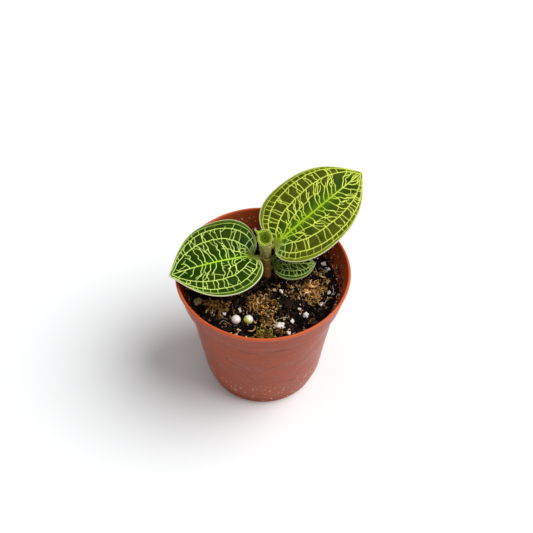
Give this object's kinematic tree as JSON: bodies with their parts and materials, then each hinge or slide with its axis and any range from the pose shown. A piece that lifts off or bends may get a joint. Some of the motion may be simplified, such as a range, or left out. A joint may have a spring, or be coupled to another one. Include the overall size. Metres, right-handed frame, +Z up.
{
  "type": "potted jewel orchid",
  "caption": "Small jewel orchid with net-veined heart-shaped leaves and a rolled young leaf, growing in peat in a tapered plastic nursery pot.",
  "frame": {"origin": "middle of the pot's flat base", "axes": "+Z up along the pot's axis; +X to the right of the picture, towards the large leaf; -Y towards the viewer"},
  "size_m": [0.0666, 0.0616, 0.0709],
  "materials": {
    "pot_plastic": "satin moulded terracotta-brown plastic with scuffs",
    "peat": "dark crumbly peat and bark fines",
    "stem_skin": "waxy green-brown stem",
    "leaf_olive": "velvety olive blade with a bright yellow-green net",
    "leaf_green": "velvety deep green blade with a bright yellow-green net",
    "leaf_pale": "pale young blade, rolled",
    "moss_brown": "dry brown moss strands",
    "moss_tan": "dry golden-tan moss strands",
    "moss_green": "green-brown moss strands",
    "perlite": "porous off-white grains",
    "prill": "smooth coated feed pellet",
    "bark": "dark brown bark chips"
  },
  "bodies": {
    "root": {"bark_01": "bark", "bark_02": "bark", "bark_03": "bark", "bark_04": "bark", "bark_05": "bark", "bark_06": "bark", "bark_07": "bark", "bark_08": "bark", "bark_09": "bark", "bark_10": "bark", "bark_11": "bark", "leaf_big": "leaf_olive", "leaf_low": "leaf_green", "leaf_rolled": "leaf_pale", "leaf_side": "leaf_green", "moss_back": "moss_green", "moss_centre": "moss_brown", "moss_front": "moss_green", "moss_left": "moss_brown", "moss_right": "moss_tan", "perlite_01": "perlite", "perlite_02": "perlite", "perlite_03": "perlite", "perlite_04": "perlite", "perlite_05": "perlite", "perlite_06": "perlite", "perlite_07": "perlite", "perlite_08": "perlite", "perlite_09": "perlite", "perlite_10": "perlite", "perlite_11": "perlite", "perlite_12": "perlite", "perlite_13": "perlite", "perlite_14": "perlite", "perlite_15": "perlite", "perlite_16": "perlite", "pot": "pot_plastic", "prill_01": "prill", "prill_02": "prill", "soil": "peat", "stem": "stem_skin"}
  },
  "joints": []
}
